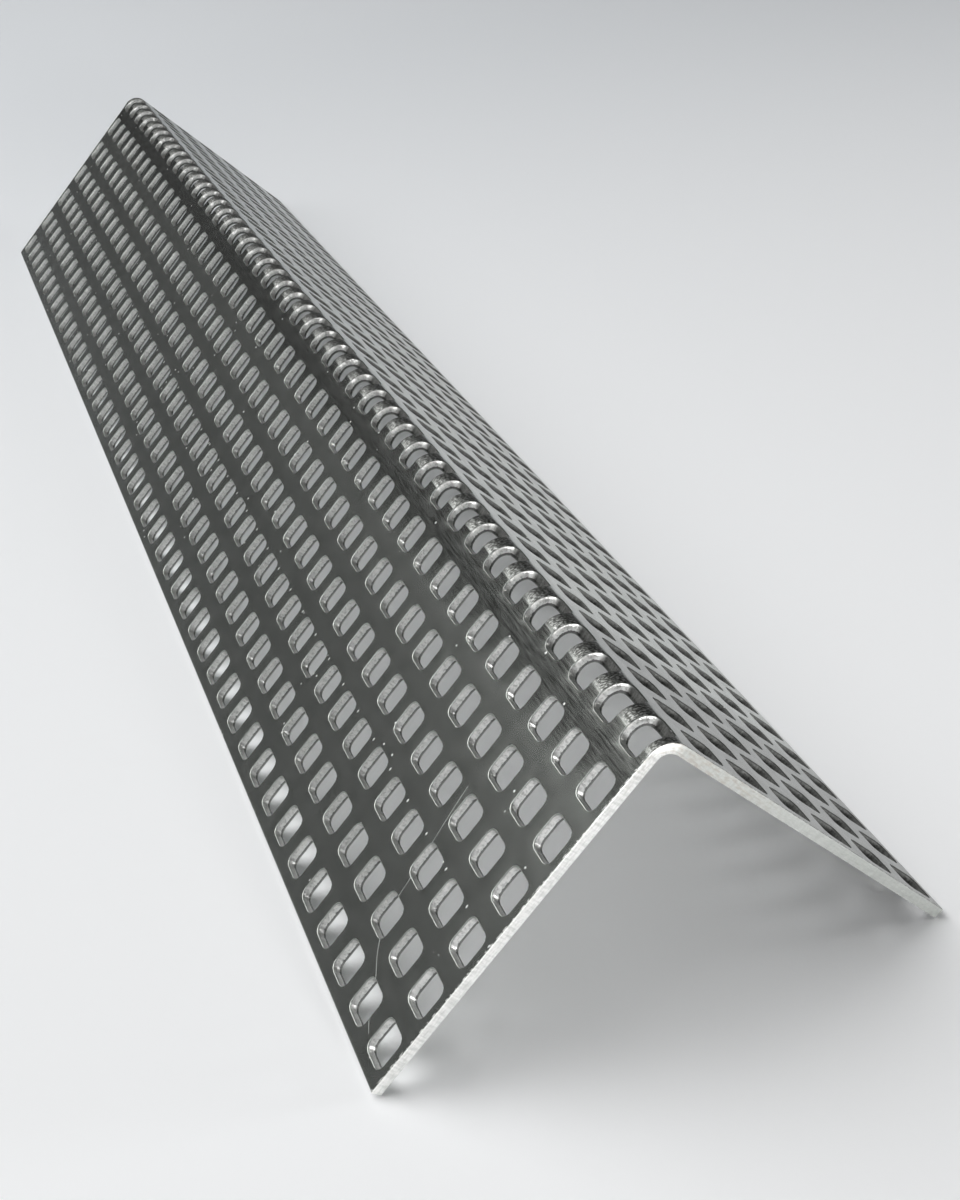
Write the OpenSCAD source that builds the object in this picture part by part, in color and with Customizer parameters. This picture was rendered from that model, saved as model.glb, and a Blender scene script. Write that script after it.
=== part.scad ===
/* [Strip] */
// Length of the strip, along the fold
strip_length = 360; // [80:8:1000]
// Thickness of the sheet
sheet_t = 1.5; // [0.8:0.1:2.5]
// Width of the left leg, from its free edge to the sharp outer corner
left_leg_w = 54.8; // [25:0.1:120]
// Width of the right leg, from its free edge to the sharp outer corner
right_leg_w = 52.1; // [25:0.1:120]

/* [Fold] */
// Angle that the sheet is turned through at the fold
fold_angle = 90; // [60:1:110]
// Radius inside the fold
fold_inner_r = 1.8; // [1:0.1:4]
// Depth of the layer that keeps its length, from the inside, as a share of the thickness
neutral_share = 0.38; // [0.3:0.01:0.5]

/* [Square holes] */
// Side of each hole
hole_side = 5; // [3:0.1:6]
// Radius of each hole's corners
hole_corner_r = 1.1; // [0.3:0.1:1.4]
// Distance between the centres of neighbouring holes, both ways
pitch = 8; // [7:0.1:16]
// Distance from the left free edge to the middle of the first row
first_row = 4.4; // [4:0.1:8]
// Least metal between a hole and the edge of the strip
edge_metal = 0.8; // [0.5:0.1:2]

/* [Hidden] */
$fn = 48;

// How far a cut runs past the faces of the sheet, and one cut over the next
cut_past = 0.5;
cut_lap = 0.2;
// Straight part of a hole's side, between its rounded corners
hole_core = hole_side - 2 * hole_corner_r;
// Outer and neutral radius of the fold
fold_outer_r = fold_inner_r + sheet_t;
fold_neutral_r = fold_inner_r + neutral_share * sheet_t;
// The sharp outer corner lies this far past each end of the fold's arc
setback = fold_outer_r * tan(fold_angle / 2);

// The flat sheet, measured across it from the left free edge: the fold starts at
// fold_from and ends at fold_to, and the right free edge is at sheet_w
fold_from = left_leg_w - setback;
fold_to = fold_from + fold_neutral_r * fold_angle * PI / 180;
right_flat = right_leg_w - setback;
sheet_w = fold_to + right_flat;

// Rows run along the strip and are counted from the left free edge
holes_in_row = floor((strip_length - hole_side - 2 * edge_metal) / pitch) + 1;
row_count = floor((sheet_w - first_row - hole_side / 2 - edge_metal) / pitch) + 1;
hole_x0 = -(holes_in_row - 1) * pitch / 2;
function row_at(row) = first_row + row * pitch;
// Rows that lie wholly on a leg are cut flat; those between are cut round the fold
left_rows = [for (r = [0:row_count - 1]) if (row_at(r) + hole_side / 2 <= fold_from) r];
right_rows = [for (r = [0:row_count - 1]) if (row_at(r) - hole_side / 2 >= fold_to) r];
fold_rows = [for (r = [0:row_count - 1])
             if (row_at(r) + hole_side / 2 > fold_from && row_at(r) - hole_side / 2 < fold_to) r];
// The folded band takes in its rows and half a web on each side of them, and reaches this
// far along each leg from the fold
left_band = max([0, for (r = fold_rows) fold_from - row_at(r) + pitch / 2]);
right_band = max([0, for (r = fold_rows) row_at(r) + pitch / 2 - fold_to]);

// At rest the strip stands on the inner corners of its two free edges, here in the
// section's own plane, with the fold's axis at its origin
function turned(p, a) = [p[0] * cos(a) - p[1] * sin(a), p[0] * sin(a) + p[1] * cos(a)];
left_foot = [fold_from, fold_inner_r];
right_foot = turned([-right_flat, fold_inner_r], fold_angle);
rest_turn = -atan2(left_foot[1] - right_foot[1], left_foot[0] - right_foot[0]);
rest_height = -turned(left_foot, rest_turn)[1];
left_toe = turned([fold_from, fold_outer_r], rest_turn);
right_toe = turned([-right_flat, fold_outer_r], fold_angle + rest_turn);
rest_y = -(left_toe[0] + right_toe[0]) / 2;

// Outline of one hole in flat sheet
module hole_outline() {
    square([hole_side, hole_core], center = true);
    square([hole_core, hole_side], center = true);
    for (x = [-1, 1], y = [-1, 1])
        translate([x * hole_core / 2, y * hole_core / 2]) circle(r = hole_corner_r);
}

// A flat stretch of a leg with its rows of holes. All distances are from the fold
module flat_stretch(near, far, rows) {
    if (far > near) translate([0, 0, fold_inner_r]) linear_extrude(sheet_t) difference() {
        translate([-strip_length / 2, near]) square([strip_length, far - near]);
        for (i = [0:holes_in_row - 1], y = rows)
            translate([hole_x0 + i * pitch, y]) hole_outline();
    }
}

// The left leg is drawn where it lies, with the fold's axis along X. This turns what is
// drawn like it over onto the right leg
module on_right_leg() rotate([fold_angle, 0, 0]) mirror([0, 1, 0]) children();

// A ring along the fold's axis, less all that lies on the legs' side of the fold's ends
module fold_sector() {
    module leg_side() translate([-strip_length, 0, -2 * fold_outer_r])
        cube([2 * strip_length, 2 * fold_outer_r, 4 * fold_outer_r]);
    difference() {
        rotate([0, 90, 0]) linear_extrude(strip_length, center = true) difference() {
            circle(r = fold_outer_r);
            circle(r = fold_inner_r);
        }
        leg_side();
        on_right_leg() leg_side();
    }
}

// How far the sheet has turned at a place across it, and how far along a leg the place lies
// from the end of the fold
function turn_at(place) = fold_angle * min(1, max(0, (place - fold_from) / (fold_to - fold_from)));
function along_leg(place) = max(0, fold_from - place) - max(0, place - fold_to);
// Point of the section at a place across the sheet, this far out from the level of the axis
function section_point(place, out) = turned([along_leg(place), out], turn_at(place));

// Cutter for the rounded end of a folded hole, square to the sheet at its place. The hole's
// full width laps this far over the part between the ends
module hole_end(place, lap) {
    rotate([turn_at(place), 0, 0]) translate([0, along_leg(place), fold_inner_r - cut_past])
        linear_extrude(sheet_t + 2 * cut_past) {
            square([hole_core, 2 * hole_corner_r], center = true);
            for (x = [-1, 1]) translate([x * hole_core / 2, 0]) circle(r = hole_corner_r);
            translate([0, -lap / 2]) square([hole_side, abs(lap)], center = true);
        }
}

// Cutter for a hole that the fold runs through: a rounded end at each side, and between them
// the full width of the hole, which reaches out to where the faces above the sheet would cross
module folded_hole(middle) {
    from = middle - hole_core / 2;
    to = middle + hole_core / 2;
    inside = fold_inner_r - cut_past;
    outside = fold_outer_r + cut_past;
    start = from + cut_lap / 2;
    end = to - cut_lap / 2;
    bend = turn_at(end) - turn_at(start);
    crossing = turned([-outside * tan(bend / 2), outside], turn_at(start));
    hole_end(from, cut_lap);
    hole_end(to, -cut_lap);
    rotate([90, 0, 90]) translate([0, 0, -hole_side / 2]) linear_extrude(hole_side)
        polygon(concat([section_point(start, inside), section_point(start, outside)],
                       bend > 0 ? [crossing] : [],
                       [section_point(end, outside), section_point(end, inside)]));
}

// The fold with the rows that it runs through
module folded_band() {
    difference() {
        union() {
            flat_stretch(0, left_band, []);
            fold_sector();
            on_right_leg() flat_stretch(0, right_band, []);
        }
        for (i = [0:holes_in_row - 1], r = fold_rows)
            translate([hole_x0 + i * pitch, 0, 0]) folded_hole(row_at(r));
    }
}

// The perforated strip, folded once along its length, standing on its two free edges
module perforated_angle() {
    color([0.62, 0.63, 0.63]) translate([0, rest_y, rest_height]) rotate([rest_turn, 0, 0]) {
        flat_stretch(left_band, fold_from, [for (r = left_rows) fold_from - row_at(r)]);
        folded_band();
        on_right_leg()
            flat_stretch(right_band, right_flat, [for (r = right_rows) row_at(r) - fold_to]);
    }
}

perforated_angle();
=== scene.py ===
"""A folded strip of square-perforated aluminium sheet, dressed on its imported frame."""

import math

import bmesh
import bpy
import numpy as np
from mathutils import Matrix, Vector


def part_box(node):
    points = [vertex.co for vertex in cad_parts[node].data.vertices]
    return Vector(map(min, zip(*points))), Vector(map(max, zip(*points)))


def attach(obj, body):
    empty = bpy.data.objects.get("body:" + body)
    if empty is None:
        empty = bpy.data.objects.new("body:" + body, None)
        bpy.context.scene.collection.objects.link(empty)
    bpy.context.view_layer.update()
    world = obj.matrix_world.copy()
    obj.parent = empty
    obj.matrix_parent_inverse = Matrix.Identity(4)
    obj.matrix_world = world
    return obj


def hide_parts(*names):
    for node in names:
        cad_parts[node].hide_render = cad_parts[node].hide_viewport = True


bl_info = {
    "name": "Perforated aluminium angle",
    "version": (1, 0, 0),
    "blender": (4, 5, 0),
    "location": "View3D > Sidebar > Perforated",
    "description": "Punches, folds and finishes a strip of perforated aluminium sheet",
    "category": "Mesh",
}

MM = 0.001
# Points closer than this are one point
TOGETHER = 0.002 * MM
# A place across the sheet, in mm, that lies past its right free edge
PAST_EDGE = 1000.0

# The hairline scratch on the left leg, its two ends first: distances across the sheet from
# its free edge, and along the strip from its near end, in mm
SCRATCH = ((3.0, 7.6), (30.8, 23.8), (4.0, 9.6), (6.6, 12.8), (9.5, 17.4), (12.0, 19.6),
           (15.2, 20.6), (17.4, 21.0), (23.6, 22.4), (28.4, 23.4))
SCRATCH_FROM, SCRATCH_TO, SCRATCH_REACH = 3.0, 30.8, 24.0

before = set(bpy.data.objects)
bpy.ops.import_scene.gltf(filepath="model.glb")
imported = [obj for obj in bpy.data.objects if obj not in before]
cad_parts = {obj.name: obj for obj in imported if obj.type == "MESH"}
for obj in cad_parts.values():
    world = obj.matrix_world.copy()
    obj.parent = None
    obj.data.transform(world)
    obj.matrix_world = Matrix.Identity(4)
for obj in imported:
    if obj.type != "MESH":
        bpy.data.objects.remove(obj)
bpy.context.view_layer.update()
strip_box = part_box("perforated_angle")


def length(name, description, millimetres):
    return bpy.props.FloatProperty(
        name=name,
        description=description,
        default=millimetres * MM,
        min=0.0,
        precision=5,
        unit="LENGTH",
        subtype="DISTANCE",
    )


def colour(name, description, value):
    return bpy.props.StringProperty(name=name, description=description, default=value)


class SheetSizes(bpy.types.PropertyGroup):
    strip_length: length("Strip length", "Length of the strip along its fold",
                         (strip_box[1][0] - strip_box[0][0]) / MM)
    sheet_t: length("Thickness", "Thickness of the sheet", 1.5)
    left_leg_w: length("Left leg", "From its free edge to the sharp outer corner", 54.8)
    right_leg_w: length("Right leg", "From its free edge to the sharp outer corner", 52.1)
    fold_inner_r: length("Fold radius", "Radius inside the fold", 1.8)
    fold_angle: bpy.props.FloatProperty(
        name="Fold angle", description="Angle that the sheet is turned through at the fold",
        default=math.radians(90), unit="ROTATION", subtype="ANGLE")
    neutral_share: bpy.props.FloatProperty(
        name="Neutral layer", description="Depth of the layer that keeps its length, as a share "
        "of the thickness from the inside", default=0.38, min=0.3, max=0.5)
    pitch: length("Pitch", "Distance between neighbouring holes, both ways", 8.0)
    hole_side: length("Hole side", "Side of each square hole", 5.0)
    hole_corner_r: length("Hole corner", "Radius of each hole's corners", 1.1)
    first_row: length("First row", "From the left free edge to the middle of the first row", 4.4)
    roll_w: length("Punch roll", "Width of the rounded lip that the punch draws in", 0.16)
    roll_depth: length("Punch roll depth", "Depth of the rounded lip", 0.14)
    flare: length("Break-out", "Depth of the flare where the punch breaks out", 0.16)
    flare_w: length("Break-out width", "How far the flare widens the hole at each side", 0.10)
    edge_round: length("Edge rounding", "Rounding along the sheared outer edges", 0.12)
    edge_lean: length("Edge lean", "How far a sheared edge leans in at the inner face", 0.14)
    fold_steps: bpy.props.IntProperty(
        name="Fold steps", description="Flats that the fold's arc is drawn with", default=12, min=4)


class FinishColours(bpy.types.PropertyGroup):
    sheet: colour("Mill face", "Colour of the rolled faces, as sRGB hex", "#B8BCB7")
    # The duller tone also paints shade on the right leg and in its holes
    dull_and_shade: colour("Dull face", "Colour of the duller patches of the sheet, as sRGB hex", "#A4A7A3")
    cut: colour("Cut metal", "Colour of the punched walls, as sRGB hex", "#F6F6F4")
    sheared: colour("Sheared edge", "Colour of the sheared edges, as sRGB hex", "#E4E4E2")
    bright: colour("Bright metal", "Colour of fresh nicks and ticks, as sRGB hex", "#F8F8F6")
    # The dark tone also paints shade on the right leg, its lips and holes, and beside the fold
    grime_and_shade: colour("Grime", "Colour of the grime in marks and corners, as sRGB hex", "#3A3A38")
    # A brown reflection, painted on the right leg's cut edge beside the fold
    reflection: colour("Reflection", "Colour of the brown stain by the fold, as sRGB hex", "#9A8A7C")
    paper: colour("Paper", "Colour of the floor paper in front, as sRGB hex", "#F9FAFB")
    # The paper's grey at the back is painted shade, where the light falls off
    paper_back_shade: colour("Paper at the back", "Colour of the paper far behind, as sRGB hex", "#D2D5D8")


def linear(code):
    """An sRGB hex colour as linear red, green, blue and alpha."""
    parts = [int(code[i:i + 2], 16) / 255 for i in (1, 3, 5)]
    return tuple(p / 12.92 if p <= 0.04045 else ((p + 0.055) / 1.055) ** 2.4
                 for p in parts) + (1.0,)


# ---- working in edit mode, as by hand


def only(obj):
    bpy.ops.object.select_all(action="DESELECT")
    obj.select_set(True)
    bpy.context.view_layer.objects.active = obj


def pick(obj, kind, test):
    """In edit mode, selects the verts, edges or faces that pass the test, and no others."""
    bpy.ops.mesh.select_mode(type={"verts": "VERT", "edges": "EDGE", "faces": "FACE"}[kind])
    bpy.ops.mesh.select_all(action="DESELECT")
    shape = bmesh.from_edit_mesh(obj.data)
    for part in getattr(shape, kind):
        if test(part):
            part.select_set(True)
    bmesh.update_edit_mesh(obj.data)


def near(a, b):
    return abs(a - b) < TOGETHER


def apply(obj, name):
    only(obj)
    bpy.ops.object.modifier_apply(modifier=name)


# ---- the folded strip


def fold_sizes(s):
    """Sizes that follow from the sheet's own: radii, and where the fold starts and ends."""
    outer = s.fold_inner_r + s.sheet_t
    neutral = s.fold_inner_r + s.neutral_share * s.sheet_t
    setback = outer * math.tan(s.fold_angle / 2)
    start = s.left_leg_w - setback
    end = start + neutral * s.fold_angle
    return outer, neutral, start, end, end + s.right_leg_w - setback


def punched_cell(s, x, y, z_out):
    """One hole with the sheet round it, a pitch wide: lip, cut wall and flared break-out."""
    z_in = z_out - s.sheet_t
    half = s.hole_side / 2
    bpy.ops.mesh.primitive_plane_add(size=2 * (half + s.roll_w), location=(x, y, z_out))
    cell = bpy.context.active_object
    bpy.ops.object.transform_apply(location=True, rotation=True, scale=True)
    bpy.ops.object.mode_set(mode="EDIT")
    bpy.ops.mesh.select_all(action="SELECT")
    bpy.ops.mesh.bevel(offset=s.hole_corner_r + s.roll_w, segments=3, profile=0.5,
                       affect="VERTICES")
    bpy.ops.mesh.select_mode(type="FACE")
    bpy.ops.mesh.select_all(action="SELECT")
    bpy.ops.mesh.inset(thickness=s.roll_w, depth=-s.roll_depth)
    cut = s.sheet_t - s.roll_depth - s.flare
    bpy.ops.mesh.extrude_region_move(TRANSFORM_OT_translate={"value": (0, 0, -cut)})
    bpy.ops.mesh.extrude_region_move(TRANSFORM_OT_translate={"value": (0, 0, -s.flare)})
    wider = (half + s.flare_w) / half
    bpy.ops.transform.resize(value=(wider, wider, 1), center_override=(x, y, z_in))
    bpy.ops.mesh.delete(type="ONLY_FACE")
    for z in (z_out, z_in):
        bpy.ops.mesh.select_all(action="DESELECT")
        bpy.ops.mesh.primitive_plane_add(size=s.pitch, location=(x, y, z))
        bpy.ops.mesh.delete(type="ONLY_FACE")
        pick(cell, "edges", lambda e: all(near(v.co.z, z) for v in e.verts))
        bpy.ops.mesh.fill(use_beauty=True)
        pick(cell, "faces", lambda f: all(near(v.co.z, z) for v in f.verts))
        bpy.ops.mesh.dissolve_limited(angle_limit=math.radians(1))
    bpy.ops.object.mode_set(mode="OBJECT")
    return cell


def repeat(obj, count, step):
    array = obj.modifiers.new("Repeat", "ARRAY")
    array.count = count
    array.use_relative_offset = False
    array.use_constant_offset = True
    array.constant_offset_displace = step
    array.use_merge_vertices = True
    array.merge_threshold = TOGETHER
    apply(obj, array.name)


def trim_to_strip(s, strip, y_left, y_right):
    """Widens the strip to its left edge, cuts it at its right edge and closes its rim."""
    outer = fold_sizes(s)[0]
    bpy.ops.object.mode_set(mode="EDIT")
    border = max(v.co.y for v in bmesh.from_edit_mesh(strip.data).verts)
    pick(strip, "edges", lambda e: all(near(v.co.y, border) for v in e.verts))
    bpy.ops.mesh.extrude_region_move(
        TRANSFORM_OT_translate={"value": (0, y_left - border, 0)})
    bpy.ops.mesh.select_all(action="SELECT")
    bpy.ops.mesh.bisect(plane_co=(0, y_right, 0), plane_no=(0, -1, 0), clear_outer=True)
    pick(strip, "edges", lambda e: e.is_boundary and all(near(v.co.z, outer) for v in e.verts))
    bpy.ops.mesh.extrude_region_move(TRANSFORM_OT_translate={"value": (0, 0, -s.sheet_t)})
    bpy.ops.mesh.select_all(action="SELECT")
    bpy.ops.mesh.remove_doubles(threshold=2 * TOGETHER)
    bpy.ops.mesh.normals_make_consistent(inside=False)
    bpy.ops.object.mode_set(mode="OBJECT")


def shear_edges(s, strip, y_left, y_right):
    """A guillotine draws in the outer edge and leaves the cut face leaning in below it."""
    outer = fold_sizes(s)[0]
    x_end = s.strip_length / 2

    def on_rim(v):
        return near(abs(v.co.x), x_end) or near(v.co.y, y_left) or near(v.co.y, y_right)

    bpy.ops.object.mode_set(mode="EDIT")
    lower = outer - s.sheet_t
    for axis, place, lean in ((0, x_end, -1), (0, -x_end, 1), (1, y_left, -1), (1, y_right, 1)):
        pick(strip, "verts", lambda v: near(v.co[axis], place) and near(v.co.z, lower))
        step = [0, 0, 0]
        step[axis] = lean * s.edge_lean
        bpy.ops.transform.translate(value=step)
    pick(strip, "edges", lambda e: all(near(v.co.z, outer) and on_rim(v) for v in e.verts)
         and any(f.normal.z < 0.5 for f in e.link_faces))
    bpy.ops.mesh.bevel(offset=s.edge_round, segments=2, profile=0.5, affect="EDGES")
    bpy.ops.object.mode_set(mode="OBJECT")


def assign_finishes(s, strip, y_left, y_right):
    """Slot 0 is the rolled face, 1 the walls of the holes, 2 the sheared edges."""
    x_rim = s.strip_length / 2 - 2 * s.edge_lean
    y_high, y_low = y_left - 2 * s.edge_lean, y_right + 2 * s.edge_lean

    def rim(f):
        c = f.calc_center_median()
        return abs(c.x) > x_rim or c.y > y_high or c.y < y_low

    bpy.ops.object.mode_set(mode="EDIT")
    for slot, test in ((1, lambda f: abs(f.normal.z) < 0.5 and not rim(f)),
                       (2, lambda f: abs(f.normal.z) < 0.5 and rim(f))):
        pick(strip, "faces", test)
        strip.active_material_index = slot
        bpy.ops.object.material_slot_assign()
    bpy.ops.object.mode_set(mode="OBJECT")


def note_flat_places(strip, y_left, z_out):
    """Keeps where each point lay on the flat sheet, in mm: along it, across it and deep in it."""
    mesh = strip.data
    places = np.empty(len(mesh.vertices) * 3, dtype=np.float32)
    mesh.vertices.foreach_get("co", places)
    places = places.reshape(-1, 3)
    flat = np.stack([places[:, 0], y_left - places[:, 1], z_out - places[:, 2]], axis=1) / MM
    flat_sheet = mesh.attributes.new("flat_sheet", "FLOAT_VECTOR", "POINT")
    flat_sheet.data.foreach_set("vector", flat.astype(np.float32).ravel())


def fold(s, strip):
    """Cuts the sheet finely across the fold, then bends it there round its neutral layer."""
    outer, neutral, start, end, sheet_w = fold_sizes(s)
    run = end - start
    bpy.ops.object.mode_set(mode="EDIT")
    for step in range(s.fold_steps + 1):
        pick(strip, "faces", lambda f: any(-run - MM < v.co.y < MM for v in f.verts))
        bpy.ops.mesh.bisect(plane_co=(0, -run * step / s.fold_steps, 0), plane_no=(0, 1, 0))
    bpy.ops.object.mode_set(mode="OBJECT")
    note_flat_places(strip, start, outer)
    # The modifier bends along its origin's Z, which here runs across the sheet, away from
    # the left edge, with its Y towards the inside of the fold
    bpy.ops.object.empty_add(location=(0, 0, neutral),
                             rotation=(math.radians(90), math.radians(180), 0))
    origin = bpy.context.active_object
    bend = strip.modifiers.new("Fold", "SIMPLE_DEFORM")
    bend.deform_method = "BEND"
    bend.deform_axis = "X"
    bend.origin = origin
    bend.angle = s.fold_angle
    bend.limits = (start / sheet_w, end / sheet_w)
    apply(strip, bend.name)
    only(origin)
    bpy.ops.object.delete()


def rest_on_edges(s, strip):
    """Turns the folded strip so that it stands on the inner corners of its free edges."""
    outer, _, start, end, sheet_w = fold_sizes(s)
    right_flat = sheet_w - end

    def turned(y, z, a):
        return y * math.cos(a) - z * math.sin(a), y * math.sin(a) + z * math.cos(a)

    foot = turned(-right_flat, s.fold_inner_r, s.fold_angle)
    turn = -math.atan2(s.fold_inner_r - foot[1], start - foot[0])
    left_toe = turned(start, outer, turn)
    right_toe = turned(-right_flat, outer, s.fold_angle + turn)
    strip.rotation_euler = (turn, 0, 0)
    strip.location = (0, -(left_toe[0] + right_toe[0]) / 2,
                      -turned(start, s.fold_inner_r, turn)[1])
    only(strip)
    bpy.ops.object.transform_apply(location=True, rotation=True, scale=True)


def smooth(strip):
    only(strip)
    bpy.ops.object.shade_smooth_by_angle(angle=math.radians(50))
    weigh = strip.modifiers.new("Flat faces", "WEIGHTED_NORMAL")
    weigh.mode = "FACE_AREA"
    weigh.keep_sharp = True
    apply(strip, weigh.name)


class PERFORATED_OT_strip(bpy.types.Operator):
    """Punch, trim, fold and finish the strip"""

    bl_idname = "perforated.strip"
    bl_label = "Folded strip"

    def execute(self, context):
        s = context.scene.sheet_sizes
        colours = context.scene.finish_colours
        outer, _, start, _, sheet_w = fold_sizes(s)
        columns = round(s.strip_length / s.pitch)
        rows = math.ceil((sheet_w - s.first_row + s.pitch / 2) / s.pitch)
        bpy.ops.object.select_all(action="DESELECT")
        strip = punched_cell(s, -(columns - 1) * s.pitch / 2, start - s.first_row, outer)
        strip.name = "folded_strip"
        strip.data.name = "folded_strip"
        for finish in (mill_face, punched_wall, sheared_edge):
            strip.data.materials.append(finish(s, colours))
        repeat(strip, columns, (s.pitch, 0, 0))
        repeat(strip, rows, (0, -s.pitch, 0))
        trim_to_strip(s, strip, start, start - sheet_w)
        shear_edges(s, strip, start, start - sheet_w)
        assign_finishes(s, strip, start, start - sheet_w)
        fold(s, strip)
        rest_on_edges(s, strip)
        smooth(strip)
        if not strip.data.polygons:
            raise RuntimeError("the strip has no faces")
        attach(strip, "root")
        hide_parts("perforated_angle")
        return {"FINISHED"}


# ---- finishes


def new_material(name):
    material = bpy.data.materials.new(name)
    material.use_nodes = True
    tree = material.node_tree
    tree.nodes.clear()
    shader = add_node(tree, "ShaderNodeBsdfPrincipled")
    add_node(tree, "ShaderNodeOutputMaterial", {"Surface": shader.outputs[0]})
    return material, tree, shader


def add_node(tree, kind, inputs=None, **settings):
    """Adds a node, sets it up, and gives its inputs values or links them to sockets."""
    node = tree.nodes.new(kind)
    for key, value in settings.items():
        setattr(node, key, value)
    for key, value in (inputs or {}).items():
        if isinstance(value, bpy.types.NodeSocket):
            tree.links.new(value, node.inputs[key])
        else:
            node.inputs[key].default_value = value
    return node


def flat_place(tree):
    """Where a point lay on the flat sheet, in mm: as a vector, and along, across and deep."""
    place = add_node(tree, "ShaderNodeAttribute", attribute_name="flat_sheet")
    parts = add_node(tree, "ShaderNodeSeparateXYZ", {"Vector": place.outputs["Vector"]})
    return place.outputs["Vector"], parts.outputs["X"], parts.outputs["Y"], parts.outputs["Z"]


def grain(tree, place, per_mm, detail=2.0, low=0.0, high=1.0):
    """Noise with its own count per mm along, across and into the sheet, spread to 0 and 1."""
    counted = add_node(tree, "ShaderNodeVectorMath", {0: place, 1: per_mm}, operation="MULTIPLY")
    noise = add_node(tree, "ShaderNodeTexNoise",
                     {"Vector": counted.outputs["Vector"], "Scale": 1.0, "Detail": detail})
    spread = add_node(tree, "ShaderNodeMapRange",
                      {"Value": noise.outputs["Fac"], "From Min": low, "From Max": high})
    return spread.outputs["Result"]


def between(tree, value, start, stop, soft):
    """1 where the value lies from start to stop, fading to 0 over the soft width outside."""
    rise = add_node(tree, "ShaderNodeMapRange", {
        "Value": value, "From Min": start - soft, "From Max": start},
        interpolation_type="SMOOTHSTEP")
    fall = add_node(tree, "ShaderNodeMapRange", {
        "Value": value, "From Min": stop, "From Max": stop + soft, "To Min": 1.0, "To Max": 0.0},
        interpolation_type="SMOOTHSTEP")
    both = add_node(tree, "ShaderNodeMath", {0: rise.outputs["Result"], 1: fall.outputs["Result"]},
                    operation="MULTIPLY")
    return both.outputs["Value"]


def overlap(tree, masks):
    """Where all of the masks, which may be sockets or numbers, lie over one another."""
    share = masks[0]
    for mask in masks[1:]:
        both = add_node(tree, "ShaderNodeMath", {0: share, 1: mask}, operation="MULTIPLY")
        share = both.outputs["Value"]
    return share


def washed(tree, base, washes):
    """Lays washes of other tones over a base tone, each where its masks overlap."""
    tone = linear(base)
    for wash, *masks in washes:
        laid = add_node(tree, "ShaderNodeMix", {
            "Factor": overlap(tree, masks), "A": tone, "B": linear(wash)}, data_type="RGBA")
        tone = laid.outputs["Result"]
    return tone


def roughened(tree, rough, patches):
    """Adds to a roughness by an amount for each patch, where its masks overlap."""
    for more, *masks in patches:
        added = add_node(tree, "ShaderNodeMath", {
            0: overlap(tree, masks), 1: more, 2: rough}, operation="MULTIPLY_ADD")
        rough = added.outputs["Value"]
    return rough


def relief(tree, layers):
    """Raises patterns from the surface one after another, each to a height in microns."""
    normal = None
    for microns, *masks in layers:
        bump = add_node(tree, "ShaderNodeBump", {
            "Height": overlap(tree, masks), "Distance": microns * 1e-6})
        if normal is not None:
            tree.links.new(normal, bump.inputs["Normal"])
        normal = bump.outputs["Normal"]
    return normal


def spots(tree, place, per_mm, size, share):
    """Small round spots, a few to the mm, kept in the given share of their cells."""
    cells = add_node(tree, "ShaderNodeTexVoronoi", {"Vector": place, "Scale": per_mm})
    dot = add_node(tree, "ShaderNodeMapRange", {
        "Value": cells.outputs["Distance"], "From Min": size * 0.6, "From Max": size,
        "To Min": 1.0, "To Max": 0.0})
    lot = add_node(tree, "ShaderNodeSeparateColor", {"Color": cells.outputs["Color"]})
    kept = add_node(tree, "ShaderNodeMath", {0: lot.outputs["Red"], 1: share},
                    operation="LESS_THAN")
    return overlap(tree, [dot.outputs["Result"], kept.outputs["Value"]])


def punch_ticks(tree, s, along, across):
    """The stripper plate's bright tick beside each hole of one row."""
    tick_row = (s.first_row + 2.275 * s.pitch) / MM
    first = (-s.strip_length / 2 + 1.05 * s.pitch) / MM
    shifted = add_node(tree, "ShaderNodeMath", {0: along, 1: first}, operation="SUBTRACT")
    off_x = add_node(tree, "ShaderNodeMath", {0: shifted.outputs["Value"], 1: s.pitch / MM / 2},
                     operation="PINGPONG")
    off_y = add_node(tree, "ShaderNodeMath", {0: across, 1: tick_row}, operation="SUBTRACT")
    # A tick is nearly twice as long across the strip as along it
    drawn = add_node(tree, "ShaderNodeMath", {0: off_y.outputs["Value"], 1: 0.55},
                     operation="MULTIPLY")
    flat = add_node(tree, "ShaderNodeCombineXYZ", {
        "X": off_x.outputs["Value"], "Y": drawn.outputs["Value"]})
    away = add_node(tree, "ShaderNodeVectorMath", {0: flat.outputs["Vector"]}, operation="LENGTH")
    return between(tree, away.outputs["Value"], -1.0, 0.06, 0.12)


def hairline(tree, s, along, across):
    """A long hairline scratch that wanders up the left leg from its near corner."""
    low, high, reach = SCRATCH_FROM, SCRATCH_TO, SCRATCH_REACH
    up = add_node(tree, "ShaderNodeMapRange", {
        "Value": across, "From Min": low, "From Max": high})
    route = add_node(tree, "ShaderNodeFloatCurve", {"Value": up.outputs["Result"]})
    curve = route.mapping.curves[0]
    for place, (across_mm, along_mm) in enumerate(SCRATCH):
        point = ((across_mm - low) / (high - low), along_mm / reach)
        if place < 2:
            curve.points[place].location = point
        else:
            curve.points.new(*point)
    route.mapping.update()
    at = add_node(tree, "ShaderNodeMath", {
        0: route.outputs["Value"], 1: reach, 2: -s.strip_length / MM / 2},
        operation="MULTIPLY_ADD")
    off = add_node(tree, "ShaderNodeMath", {0: along, 1: at.outputs["Value"]},
                   operation="SUBTRACT")
    line = between(tree, off.outputs["Value"], -0.03, 0.03, 0.06)
    return overlap(tree, [line, between(tree, across, low, high, 0.2)])


def ends(tree, s, along, width):
    """1 in a band of a width in mm beside each cut end of the strip."""
    half = s.strip_length / 2 / MM - width
    inside = between(tree, along, -half, half, width * 0.7)
    outside = add_node(tree, "ShaderNodeMath", {0: 1.0, 1: inside}, operation="SUBTRACT")
    return outside.outputs["Value"]


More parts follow.
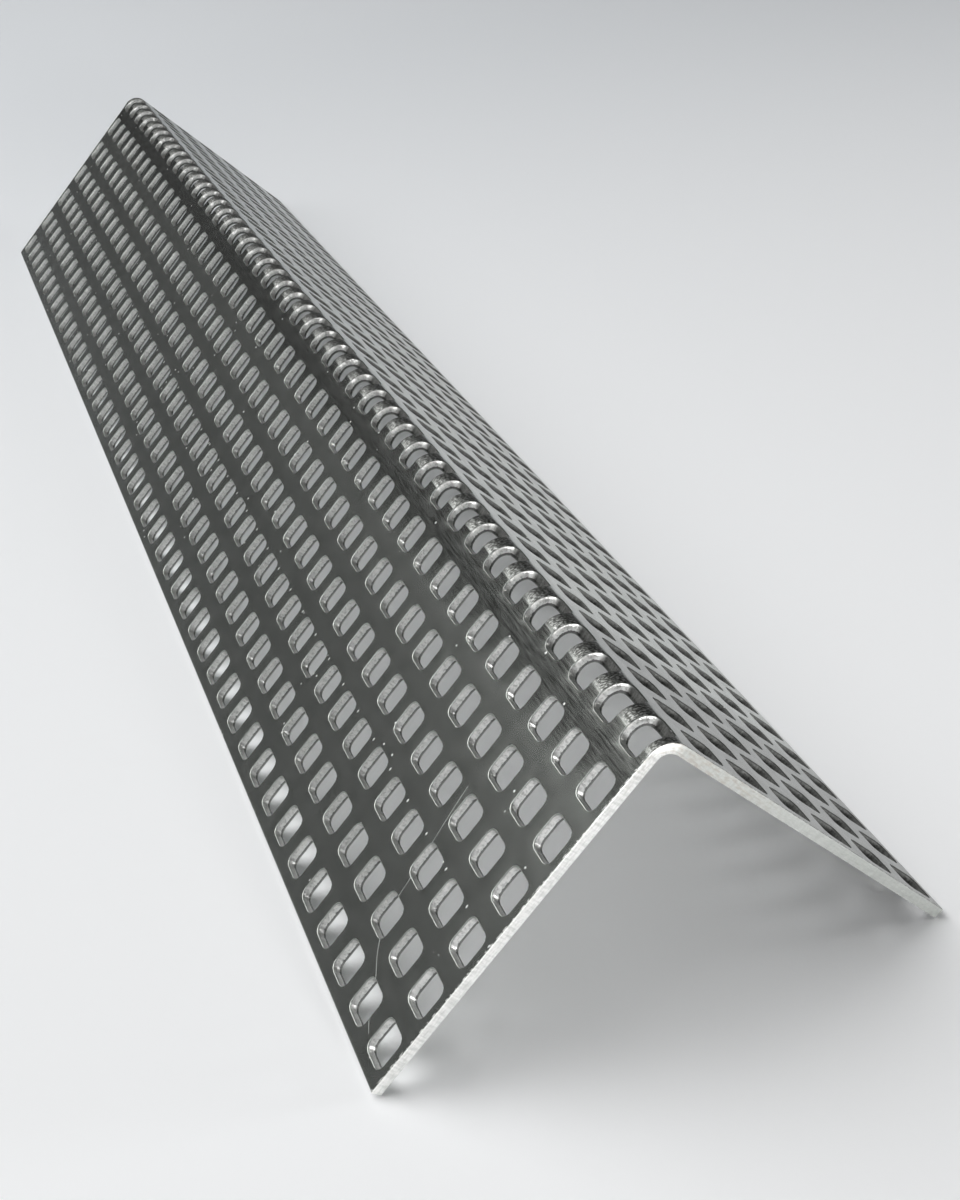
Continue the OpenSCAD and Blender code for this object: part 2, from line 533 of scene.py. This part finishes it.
def mill_face(s, colours):
    """Aluminium sheet in mill finish: an even grey shine, drawn out along the strip by the
    rolls, with fine lines pressed in beside the fold, and crazed where it was bent. Painted shade
    darkens the right leg, most at its near end and on the lips of its holes, and the band on the
    left leg beside the fold."""
    material, tree, shader = new_material("Mill-finish aluminium sheet")
    shader.inputs["Metallic"].default_value = 1.0
    start, end = (value / MM for value in fold_sizes(s)[2:4])
    place, along, across, deep = flat_place(tree)
    # Roll lines are 5 to 10 microns apart, drawn at 2 to 3 to the mm so that they show
    rolled = grain(tree, place, (0.05, 2.5, 2.5), detail=1.0, low=0.3, high=0.7)
    cloud = grain(tree, place, (0.25, 0.4, 0.3), detail=3.0, low=0.3, high=0.7)
    # The press brake leaves lines beside the fold, 5 to 10 to the mm, drawn at 3 to the mm
    pressed = grain(tree, place, (0.22, 3.4, 3.4), detail=3.0, low=0.50, high=0.36)
    polished = grain(tree, place, (0.22, 3.4, 3.4), detail=3.0, low=0.56, high=0.68)
    press_left = between(tree, across, start - 5.0, start + 0.8, 5.0)
    press_right = between(tree, across, end - 0.2, end + 1.0, 3.0)
    # The stretched skin of the bend is crazed, dark and bright, 3 to 4 times to the mm
    crazed = grain(tree, place, (4.0, 3.0, 3.0), detail=3.0, low=0.52, high=0.43)
    cracked = grain(tree, place, (4.0, 3.0, 3.0), detail=3.0, low=0.53, high=0.62)
    bent = between(tree, across, start + 0.7, end - 0.9, 0.7)
    # The shears leave a torn, speckled lip, up to 0.6 mm wide, beside each cut end
    torn = grain(tree, place, (2.4, 1.9, 1.0), detail=3.0, low=0.52, high=0.58)
    lip = ends(tree, s, along, 0.4)
    specks = spots(tree, place, 0.9, 0.20, 0.035)
    dirt = spots(tree, place, 0.45, 0.09, 0.10)
    # The rounded lips beside the cuts are made duller than the faces by rubbing; on the right leg
    # they are also painted darker, as shade
    rubbed_and_shaded = between(tree, deep, 0.03, s.sheet_t / MM - 0.03, 0.02)
    # The right leg is painted darker, as shade, most of all at its near end
    right = between(tree, across, end + 1.0, PAST_EDGE, 3.0)
    near_end = -s.strip_length / 2 / MM
    near_end_shade = between(tree, along, near_end, near_end + 28.0, 14.0)
    scratch = hairline(tree, s, along, across)
    ticks = punch_ticks(tree, s, along, across)
    outer = between(tree, deep, -1.0, 0.05, 0.05)
    marked = add_node(tree, "ShaderNodeMath", {
        0: overlap(tree, [ticks, outer, 0.75]), 1: overlap(tree, [scratch, outer, 0.24])},
        operation="MAXIMUM")
    marked = add_node(tree, "ShaderNodeMath", {
        0: marked.outputs["Value"], 1: overlap(tree, [specks, 0.6])}, operation="MAXIMUM")
    marked = marked.outputs["Value"]

    tone = washed(tree, colours.sheet, (
        (colours.dull_and_shade, cloud, 0.7),
        (colours.dull_and_shade, rolled, 0.15),
        # Painted shade: the right leg darker, most of all at its near end
        (colours.dull_and_shade, right, 0.5),
        (colours.grime_and_shade, near_end_shade, right, 0.62),
        # Painted shade: the band beside the fold is darkened; the pressed lines over it are the
        # press brake's marks
        (colours.grime_and_shade, press_left, outer, 0.45),
        (colours.grime_and_shade, pressed, press_left, outer, 0.6),
        (colours.grime_and_shade, bent, outer, 0.40),
        (colours.bright, polished, press_left, outer, 0.10),
        (colours.grime_and_shade, crazed, bent, outer, 0.85),
        (colours.bright, cracked, bent, outer, 0.25),
        (colours.grime_and_shade, dirt, 0.8),
        # Painted shade on the lips of the right leg's holes
        (colours.grime_and_shade, rubbed_and_shaded, right, 0.7),
        (colours.bright, torn, lip, outer, 0.45),
        (colours.bright, marked),
    ))
    tree.links.new(tone, shader.inputs["Base Color"])
    even = add_node(tree, "ShaderNodeMapRange", {
        "Value": cloud, "To Min": 0.21, "To Max": 0.25})
    rough = roughened(tree, even.outputs["Result"], (
        (0.20, bent, outer),
        (0.16, rubbed_and_shaded),
        (0.25, rubbed_and_shaded, right),
        (0.25, torn, lip, outer),
        (0.40, marked),
    ))
    tree.links.new(rough, shader.inputs["Roughness"])
    normal = relief(tree, (
        (0.12, rolled),
        (0.8, polished, press_left, outer),
        (0.8, polished, press_right, outer),
        (6.0, cracked, bent, outer),
        (12.0, torn, lip, outer),
        (25.0, marked),
    ))
    tree.links.new(normal, shader.inputs["Normal"])
    return material


def punched_wall(s, colours):
    """The wall that a punch cuts: bright and smeared, scored from face to face, torn at its
    far edge, where it is washed darker, and painted dark as shade in the holes of the right leg."""
    material, tree, shader = new_material("Punched aluminium wall")
    shader.inputs["Metallic"].default_value = 1.0
    place, _, across, deep = flat_place(tree)
    # The punch scores the wall about 3 times to the mm
    scored = grain(tree, place, (3.0, 3.0, 0.7), detail=4.0, low=0.42, high=0.66)
    mottled = grain(tree, place, (3.6, 3.6, 3.6), detail=3.0, low=0.50, high=0.66)
    # The metal tears over the last 0.4 mm, along an uneven line
    uneven = add_node(tree, "ShaderNodeMath", {0: mottled, 1: 0.10, 2: deep},
                      operation="MULTIPLY_ADD")
    thickness = s.sheet_t / MM
    torn = between(tree, uneven.outputs["Value"], thickness - 0.40, thickness + 0.2, 0.06)
    # The holes of the right leg are painted dark, as shade, and made rougher
    shaded_right_holes = between(tree, across, fold_sizes(s)[3] / MM - 0.4, PAST_EDGE, 0.3)
    dirt = spots(tree, place, 1.0, 0.14, 0.10)
    tone = washed(tree, colours.cut, (
        (colours.dull_and_shade, scored, 0.35),
        (colours.grime_and_shade, mottled, 0.30),
        (colours.grime_and_shade, torn, 0.8),
        # Painted shade in the holes of the right leg
        (colours.grime_and_shade, shaded_right_holes, 0.9),
        (colours.dull_and_shade, scored, shaded_right_holes, 0.30),
        (colours.grime_and_shade, dirt, 0.7),
    ))
    tree.links.new(tone, shader.inputs["Base Color"])
    even = add_node(tree, "ShaderNodeMapRange", {
        "Value": mottled, "To Min": 0.35, "To Max": 0.50})
    rough = roughened(tree, even.outputs["Result"], ((0.40, shaded_right_holes),))
    tree.links.new(rough, shader.inputs["Roughness"])
    normal = relief(tree, ((12.0, scored), (10.0, mottled)))
    tree.links.new(normal, shader.inputs["Normal"])
    return material


def sheared_edge(s, colours):
    """The edge that a guillotine leaves: bright metal with fine scores from face to face,
    duller on the right leg, darker away from the fold, with a faint brown reflection painted by the
    fold."""
    material, tree, shader = new_material("Sheared aluminium edge")
    shader.inputs["Metallic"].default_value = 1.0
    place, _, across, _ = flat_place(tree)
    # The blade scores the edge 2 to 3 times to the mm
    scored = grain(tree, place, (2.0, 2.6, 0.5), detail=4.0, low=0.42, high=0.66)
    mottled = grain(tree, place, (1.6, 0.9, 3.0), detail=4.0, low=0.42, high=0.64)
    fold_to = fold_sizes(s)[3] / MM
    right = between(tree, across, fold_to + 1.0, PAST_EDGE, 3.0)
    # A brown reflection is painted on the right leg's edge beside the fold
    brown_reflection = between(tree, across, fold_to, fold_to + 9.0, 12.0)
    # The right leg's edge is darker far from the fold
    far_from_fold = between(tree, across, fold_to + 36.0, PAST_EDGE, 15.0)
    tone = washed(tree, colours.sheared, (
        (colours.dull_and_shade, scored, 0.45),
        (colours.dull_and_shade, mottled, 0.35),
        (colours.dull_and_shade, right, 0.7),
        # Painted brown reflection beside the fold
        (colours.reflection, mottled, brown_reflection, 0.35),
        (colours.dull_and_shade, far_from_fold, 0.35),
        (colours.grime_and_shade, mottled, right, 0.10),
    ))
    tree.links.new(tone, shader.inputs["Base Color"])
    rough = add_node(tree, "ShaderNodeMapRange", {
        "Value": mottled, "To Min": 0.42, "To Max": 0.55})
    tree.links.new(rough.outputs["Result"], shader.inputs["Roughness"])
    tree.links.new(relief(tree, ((6.0, scored), (5.0, mottled))), shader.inputs["Normal"])
    return material


# ---- the studio


def softbox(name, place, target, size, strength):
    """A square area lamp at a place in metres, turned to face its target."""
    bpy.ops.object.light_add(type="AREA", location=place)
    lamp = bpy.context.active_object
    lamp.name = name
    lamp.data.size = size
    lamp.data.energy = strength
    aim = [t - p for t, p in zip(target, place)]
    lamp.rotation_euler = (math.atan2(math.hypot(aim[0], aim[1]), -aim[2]), 0,
                           math.atan2(aim[1], aim[0]) - math.pi / 2)


def studio_world():
    """A dim, evenly lit room, darker low down behind the strip's far end."""
    world = bpy.data.worlds.new("Studio")
    world.use_nodes = True
    tree = world.node_tree
    tree.nodes.clear()
    place = add_node(tree, "ShaderNodeTexCoord")
    facing = add_node(tree, "ShaderNodeVectorMath", {
        0: place.outputs["Generated"], 1: (0.96, 0.26, 0.09)}, operation="DOT_PRODUCT")
    dark = add_node(tree, "ShaderNodeMapRange", {
        "Value": facing.outputs["Value"], "From Min": 0.75, "From Max": 1.0,
        "To Min": 0.075, "To Max": 0.05})
    glow = add_node(tree, "ShaderNodeBackground", {
        "Color": (1.0, 1.0, 1.0, 1.0), "Strength": dark.outputs["Result"]})
    add_node(tree, "ShaderNodeOutputWorld", {"Surface": glow.outputs[0]})
    bpy.context.scene.world = world


def paper_sweep(colours):
    """Matt white background paper, painted greyer towards the back as shade where the light falls
    off.
    """
    paper, tree, shader = new_material("White background paper")
    shader.inputs["Roughness"].default_value = 0.9
    shader.inputs["Specular IOR Level"].default_value = 0.1
    place = add_node(tree, "ShaderNodeTexCoord")
    parts = add_node(tree, "ShaderNodeSeparateXYZ", {"Vector": place.outputs["Object"]})
    # Painted shade: darker towards the back
    back = add_node(tree, "ShaderNodeMapRange", {
        "Value": parts.outputs["X"], "From Min": -0.25, "From Max": 0.40},
        interpolation_type="SMOOTHSTEP")
    tone = washed(tree, colours.paper, ((colours.paper_back_shade, back.outputs["Result"]),))
    tree.links.new(tone, shader.inputs["Base Color"])
    return paper


class PERFORATED_OT_studio(bpy.types.Operator):
    """Lay the floor, set the lamps and place the camera"""

    bl_idname = "perforated.studio"
    bl_label = "Floor, lamps and camera"

    def execute(self, context):
        colours = context.scene.finish_colours
        bpy.ops.object.select_all(action="DESELECT")
        bpy.ops.mesh.primitive_plane_add(size=6, location=(0, 0, 0))
        floor = context.active_object
        floor.name = "floor"
        floor.data.materials.append(paper_sweep(colours))
        softbox("key", (0.35, 0.45, 0.95), (-0.1, 0, 0), 1.25, 11.7)
        softbox("left", (0.45, 0.62, 0.85), (-0.1, 0, 0), 0.8, 2.6)
        softbox("front", (-1.2, -0.1, 0.055), (-0.18, 0, 0.02), 0.10, 13.0)
        softbox("fill", (-1.2, 0.35, 0.3), (-0.15, 0, 0.02), 0.5, 2.5)
        softbox("right", (-0.42, -1.15, 0.22), (-0.1, 0, 0.02), 0.28, 3.2)
        softbox("back", (0.92, 0.37, 0.66), (0, 0, 0.03), 0.3, 0.9)
        studio_world()
        scene = context.scene
        scene.view_settings.view_transform = "Standard"
        bpy.ops.object.camera_add(
            location=(-0.3400, 0.0628, 0.1533),
            rotation=[math.radians(a) for a in (60.9155, 5.8691, -108.9761)])
        camera = context.active_object
        camera.data.lens = 55.257
        camera.data.sensor_width = 36.0
        camera.data.clip_start = 0.01
        scene.camera = camera
        return {"FINISHED"}


class PERFORATED_PT_sidebar(bpy.types.Panel):
    """Lists the strip's sizes, its colours and the operators"""

    bl_idname = "PERFORATED_PT_sidebar"
    bl_label = "Perforated angle"
    bl_space_type = "VIEW_3D"
    bl_region_type = "UI"
    bl_category = "Perforated"

    def draw(self, context):
        for group in (context.scene.sheet_sizes, context.scene.finish_colours):
            for name in group.__annotations__:
                self.layout.prop(group, name)
        for operator in (PERFORATED_OT_strip, PERFORATED_OT_studio):
            self.layout.operator(operator.bl_idname)


CLASSES = (SheetSizes, FinishColours, PERFORATED_OT_strip, PERFORATED_OT_studio,
           PERFORATED_PT_sidebar)


def register():
    for cls in CLASSES:
        bpy.utils.register_class(cls)
    bpy.types.Scene.sheet_sizes = bpy.props.PointerProperty(type=SheetSizes)
    bpy.types.Scene.finish_colours = bpy.props.PointerProperty(type=FinishColours)


def unregister():
    del bpy.types.Scene.finish_colours
    del bpy.types.Scene.sheet_sizes
    for cls in reversed(CLASSES):
        bpy.utils.unregister_class(cls)


def main():
    register()
    bpy.ops.perforated.studio()
    bpy.ops.perforated.strip()


if __name__ == "__main__":
    main()
